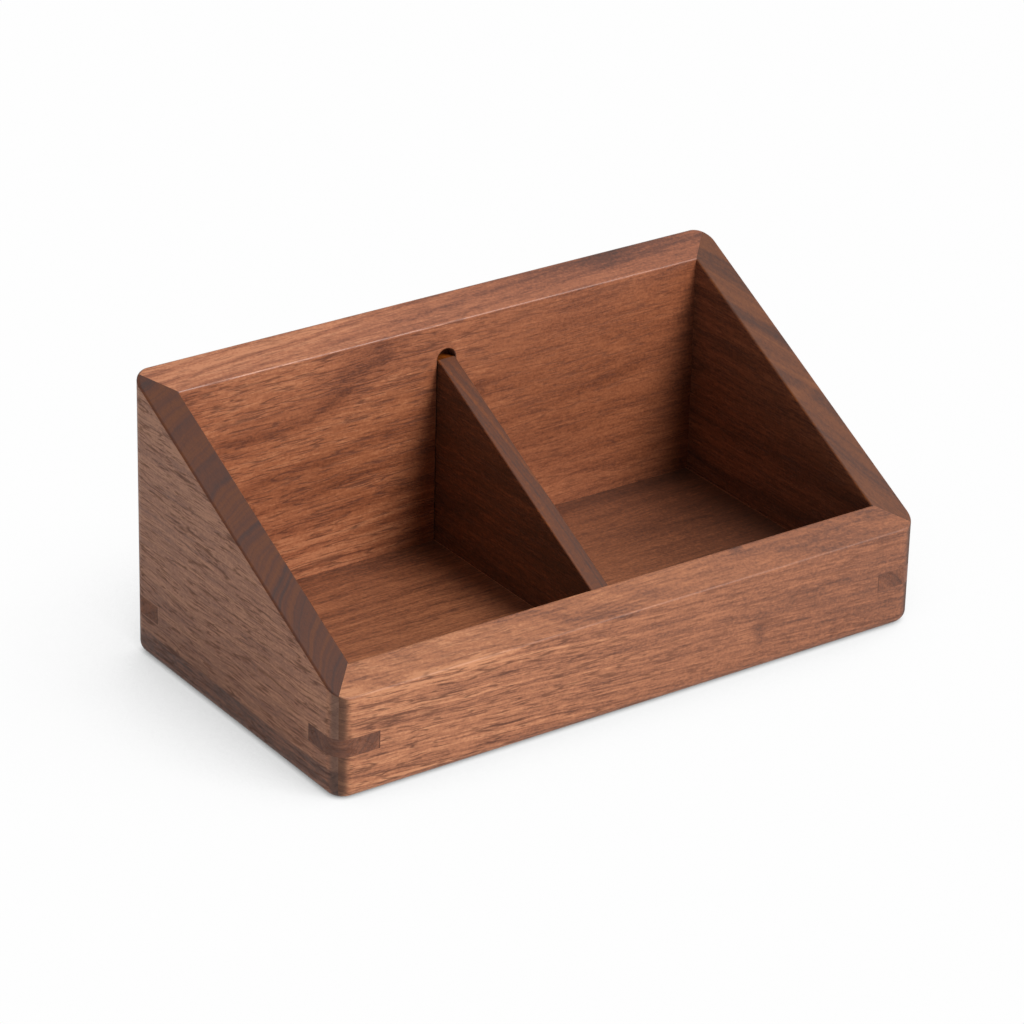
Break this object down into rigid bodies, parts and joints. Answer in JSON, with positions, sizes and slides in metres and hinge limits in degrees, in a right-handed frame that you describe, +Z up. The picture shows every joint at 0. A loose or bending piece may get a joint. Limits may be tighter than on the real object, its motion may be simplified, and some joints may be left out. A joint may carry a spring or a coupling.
{
  "type": "desk organizer",
  "caption": "Open desk organizer box in dark hardwood with a sloping rim, a lower front, two compartments and keyed mitre corners.",
  "frame": {"origin": "under the middle of the box, on the surface it stands on", "axes": "+X to the right along the front, +Y towards the tall back wall, +Z up; the low front faces -Y"},
  "size_m": [0.25, 0.134, 0.1084],
  "materials": {
    "walnut_front_wall": "oiled, satin",
    "walnut_back_wall": "oiled, satin",
    "walnut_left_wall": "oiled, satin",
    "walnut_right_wall": "oiled, satin",
    "walnut_bottom_panel": "oiled, satin",
    "walnut_divider": "oiled, satin",
    "walnut_key": "oiled, satin"
  },
  "bodies": {
    "root": {"front_wall": "walnut_front_wall", "back_wall": "walnut_back_wall", "left_wall": "walnut_left_wall", "right_wall": "walnut_right_wall", "bottom_panel": "walnut_bottom_panel", "divider": "walnut_divider", "spline_front_left": "walnut_key", "spline_front_right": "walnut_key", "spline_back_left": "walnut_key", "spline_back_right": "walnut_key"}
  },
  "joints": []
}
